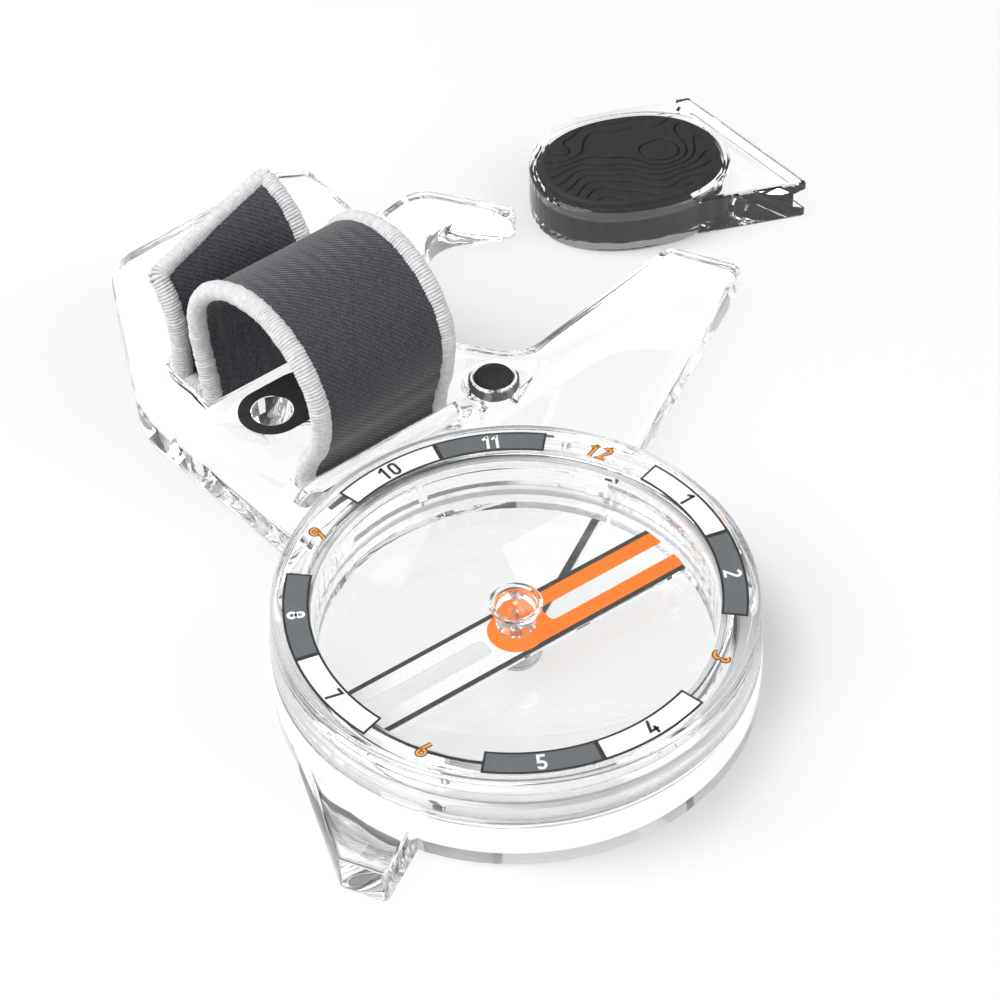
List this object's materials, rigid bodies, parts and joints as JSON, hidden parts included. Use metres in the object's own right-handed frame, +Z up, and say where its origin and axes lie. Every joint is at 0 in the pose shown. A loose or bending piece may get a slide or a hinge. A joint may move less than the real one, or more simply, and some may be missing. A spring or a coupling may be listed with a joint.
{
  "type": "orienteering thumb compass",
  "caption": "Clear thumb compass: plate with nose, thumb hollow and woven thumb strap, turning hour-ring capsule with a broad needle, and a loose rubber thumb rest.",
  "frame": {"origin": "on the capsule's axis, in the plane the compass rests on", "axes": "+Y is the direction of travel, from the capsule to the nose's end; +X is 3 o'clock on the hour ring; +Z is up out of the dial"},
  "size_m": [0.0937, 0.1249, 0.0261],
  "materials": {
    "clear_acrylic": "clear moulded acrylic, polished",
    "drag_silicone": "translucent silicone",
    "black_ink": "printed line",
    "dark_rubber": "soft matt rubber",
    "woven_elastic": "woven elastic with light stitched edges",
    "seal_rubber": "grey seal",
    "ring_print": "printed film",
    "post_white": "white moulded",
    "pin_steel": "ground steel",
    "orange_paint": "bright orange print",
    "white_paint": "white print",
    "magnet_grey": "sintered magnet",
    "jewel_ruby": "polished jewel",
    "core_black": "black insert"
  },
  "bodies": {
    "base": {"baseplate": "clear_acrylic", "retaining_ring": "clear_acrylic", "drag_ring": "drag_silicone", "direction_line_front": "black_ink", "direction_line_rear": "black_ink", "rubber_stud": "dark_rubber", "thumb_strap": "woven_elastic"},
    "capsule": {"capsule_cup": "clear_acrylic", "grip_bezel": "clear_acrylic", "capsule_lens": "clear_acrylic", "hour_ring": "ring_print", "lens_seal": "seal_rubber", "filler_plug": "clear_acrylic", "pivot_post": "post_white", "post_collar": "clear_acrylic", "pivot_pin": "pin_steel"},
    "needle": {"needle_blade": "clear_acrylic", "edge_line_left": "black_ink", "edge_line_right": "black_ink", "north_stripe_left": "orange_paint", "north_stripe_right": "orange_paint", "south_stripe_left": "white_paint", "south_stripe_right": "white_paint", "hub_disc": "orange_paint", "hub_cap": "clear_acrylic", "jewel_bearing": "jewel_ruby", "ring_magnet": "magnet_grey"},
    "thumb_rest": {"rest_plate": "clear_acrylic", "rest_pad": "dark_rubber", "rest_core": "core_black"}
  },
  "joints": [
    {"name": "capsule_turn", "type": "hinge", "parent": "base", "child": "capsule", "pos_m": [0, 0, 0.0105], "axis": [0, 0, 1], "continuous": true},
    {"name": "needle_turn", "type": "hinge", "parent": "capsule", "child": "needle", "pos_m": [0, 0, 0.0093], "axis": [0, 0, 1], "continuous": true},
    {"name": "rest_lift", "type": "slide", "parent": "base", "child": "thumb_rest", "axis": [0, 0, 1], "range_m": [0, 0.03]}
  ]
}
